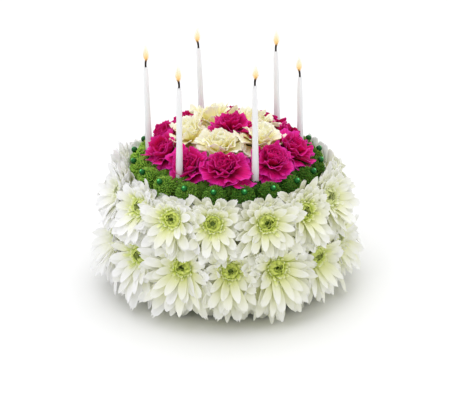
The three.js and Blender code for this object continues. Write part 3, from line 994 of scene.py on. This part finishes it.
def makeCandles(look):
    wax = waxMaterial()
    for i, (foot, along, length) in enumerate(candleLines):
        piece = drawUp(f"wax_candle_{i + 1}", look["sides"],
                       waxRings(length, look["radius"], look["tipRadius"]), 50)
        placeAlong(piece, foot, along)
        piece.data.materials.append(wax)
        finishPiece(piece, [f"candle_{i + 1}"])


makeCandles(candle)
print("candles made")


# Wicks and flames

wick = {
    "sides": 10, "rings": [  # height, share of the bend, radius
        (-2.0, 0.0, 0.9), (0.0, 0.0, 0.95), (2.4, 0.0, 0.95), (4.2, 0.12, 1.0), (5.8, 0.36, 1.05),
        (7.0, 0.72, 1.0), (7.7, 0.95, 0.8), (8.0, 1.05, 0.4)],
    "bend": (1.2, 0.3),
}


# Wicks bend to one side and the other by turns.
def makeWicks(look):
    charred = grainMaterial("charred wick", {"Roughness": 0.95, "Specular IOR Level": 0.1}, 2500.0, 2.0,
                            (0.35, (.004, .003, .003)), (0.7, (.05, .03, .025)), 0.0003)
    for i, (foot, along, length) in enumerate(candleLines):
        bendX, bendY = (amount if i % 2 else -amount for amount in look["bend"])
        rings = [(bendX * share, bendY * share, height, radius)
                 for height, share, radius in look["rings"]]
        piece = drawUp(f"charred_wick_{i + 1}", look["sides"], rings, 60)
        placeAlong(piece, foot + along * length, along)
        piece.data.materials.append(charred)
        finishPiece(piece, [f"wick_{i + 1}"])


makeWicks(wick)

flame = {
    "heights": [20.0, 16.0, 18.0, 19.0, 18.0, 20.0], "radius": 3.1, "dip": 3.6,
    "lowest": 0.45, "step": 0.6,  # layers get slimmer more than shorter, and start a step higher
    "sway": 0.8, "swayTurn": 2.1,
    "shells": [(1.0, 0.22), (0.76, 0.38), (0.46, 0.7)],  # size and how solid each layer is
    "outline": [(0.0, 0.25), (0.1, 0.7), (0.2, 0.95), (0.3, 1.0), (0.42, 0.88), (0.56, 0.66),
                (0.7, 0.44), (0.84, 0.24), (0.95, 0.1)],
}


def flameMaterial(name, solid):
    material, tree, shader = startMaterial(name, {"Roughness": 1.0, "Specular IOR Level": 0.0,
                                                  "Base Color": (0, 0, 0, 1), "Emission Strength": 1.0})
    _, rise = petalAxes(tree)
    glow = addRamp(tree, rise, [(0.0, (.90, .42, .14)), (0.2, (1.0, .64, .22)), (0.38, (1.0, .84, .44)),
                                (0.65, (1.0, .96, .72)), (1.0, (1.0, 1.0, .90))])
    tree.links.new(glow, shader.inputs["Emission Color"])
    fade = addRamp(tree, rise, [(0.0, (.3, .3, .3)), (0.12, (1, 1, 1)), (0.35, (.9, .9, .9)),
                                (0.65, (.5, .5, .5)), (1.0, (.08, .08, .08))])
    value = addNode(tree, "ShaderNodeMath", operation="MULTIPLY")
    value.inputs[1].default_value = solid
    tree.links.new(fade, value.inputs[0])
    tree.links.new(value.outputs[0], shader.inputs["Alpha"])
    return material


# A ball is stretched row by row into a flame one high. Rows are set aside as they are shaped.
def modelFlame(look):
    aside = 50
    leaveEditing()
    rings = len(look["outline"]) + 1
    bpy.ops.mesh.primitive_uv_sphere_add(segments=20, ring_count=rings, radius=1)
    piece = bpy.context.object
    startEditing()
    for row, (height, width) in enumerate(look["outline"]):
        level = -math.cos(math.pi * (row + 1) / rings)
        spread = math.sin(math.pi * (row + 1) / rings)
        pickLevel(2, level)
        bpy.ops.transform.resize(value=(width / spread, width / spread, 1),
                                 center_override=(0, 0, level))
        bpy.ops.transform.translate(value=(0, 0, height + 0.03 - level + aside))
    for level, height in ((-1, 0), (1, 1)):  # the two ends
        pickLevel(2, level)
        bpy.ops.transform.translate(value=(0, 0, height - level + aside))
    bpy.ops.mesh.select_all(action="SELECT")
    bpy.ops.transform.translate(value=(0, 0, -aside))
    leaveEditing()
    return takeKind(piece)


def makeFlames(look):
    kind = modelFlame(look)
    # the map runs with the flame's height
    kind["uv"][:, 1] = kind["points"][kind["corners"], 2]
    materials = [flameMaterial(f"flame layer {i + 1}", solid)
                 for i, (_, solid) in enumerate(look["shells"])]
    for i, height in enumerate(look["heights"]):
        points = nodes[f"wick_{i + 1}"].data.vertices
        tip = max((point.co for point in points), key=lambda co: co.z) * 1000
        low, top = tip.z - look["dip"], tip.z + height
        parts = []
        for layer, (size, _) in enumerate(look["shells"]):
            width = look["radius"] * size
            tall = (top - low) * (look["lowest"] + (1 - look["lowest"]) * size)
            part = layCore(kind, (width, width, tall), 0.0, layer)
            part["points"] = part["points"] + np.array([tip.x, tip.y, low + look["step"] * layer])
            sway = np.clip(part["points"][:, 2] - tip.z, 0, None) / (top - low)
            part["points"][:, 0] += look["sway"] * math.sin(i * look["swayTurn"]) * sway ** 2
            parts.append(part)
        meshFrom(f"flame_{i + 1}", parts, materials, [])


makeFlames(flame)
print("flames made")


# The foam form

def foamMaterial():
    material, tree, shader = startMaterial("wet green foam", {"Roughness": 0.9})
    place = objectPlace(tree)
    pores = addNode(tree, "ShaderNodeTexVoronoi", {"Vector": place, "Scale": 700.0}).outputs["Distance"]
    patch = addNoise(tree, place, 60.0, 4.0)
    base = addRamp(tree, patch, [(0.35, (.08, .13, .05)), (0.65, (.13, .20, .07))])
    # The pores are painted darker, as shade in them.
    poreShade = addRamp(tree, pores, [(0.1, (.45, .45, .45)), (0.5, (1, 1, 1))])
    paint(tree, shader, base, poreShade)
    addBump(tree, shader, pores, 0.0008)
    return material


nodes["form"].data.materials.clear()
nodes["form"].data.materials.append(foamMaterial())


# Floor, light and camera

studio = {
    "floor": 6.0, "floorColor": (.92, .92, .925), "air": (.99, .99, 1.0), "airStrength": 0.85,
    "lights": [  # place, aim, size, power
        ((-1.3, -1.2, 1.9), (0, 0, .08), 1.6, 2.0),
        ((1.6, -0.9, 1.3), (0, 0, .08), 1.4, 1.3),
        ((0.2, 1.3, 1.8), (0, 0, .12), 1.4, 3.5),
        ((-0.8, -1.3, 1.8), (0, 0, .12), 0.4, 2.8),
        ((0.0, 0.1, 1.9), (0, 0, .1), 1.8, 11.0)],
    "bounces": 16,  # light bounces many times between white petals
    "camera": (-0.00245, -1.7062, 0.8390), "pitch": 66.0, "lens": 155.5, "sensor": 36, "farthest": 20,
}


def makeStudio(look):
    leaveEditing()
    bpy.ops.mesh.primitive_plane_add(size=look["floor"], location=(0, 0, -0.0003))
    floor = bpy.context.object
    floor.name = "floor"
    bpy.ops.object.transform_apply(location=True)
    lighter = tuple(channel + .01 for channel in look["floorColor"])
    floor.data.materials.append(grainMaterial("pale floor", {"Roughness": 0.6}, 3.0, 2.0,
                                              (0.3, look["floorColor"]), (0.7, lighter)))
    for number, (place, aim, size, power) in enumerate(look["lights"]):
        bpy.ops.object.light_add(type="AREA", location=place)
        light = bpy.context.object
        light.name = f"softbox_{number + 1}"
        light.data.size = size
        light.data.energy = power
        light.rotation_euler = (Vector(aim) - Vector(place)).to_track_quat("-Z", "Y").to_euler()
    world = bpy.data.worlds.new("studio air")
    world.use_nodes = True
    air = world.node_tree.nodes["Background"].inputs
    air["Color"].default_value = (*look["air"], 1)
    air["Strength"].default_value = look["airStrength"]
    bpy.context.scene.world = world
    bpy.context.scene.view_settings.view_transform = "Standard"
    bpy.context.scene.cycles.max_bounces = look["bounces"]
    bpy.context.scene.cycles.diffuse_bounces = look["bounces"]
    bpy.ops.object.camera_add(location=look["camera"], rotation=(math.radians(look["pitch"]), 0, 0))
    camera = bpy.context.object
    camera.data.lens = look["lens"]
    camera.data.sensor_width = look["sensor"]
    camera.data.clip_end = look["farthest"]
    bpy.context.scene.camera = camera


makeStudio(studio)
print("studio made")
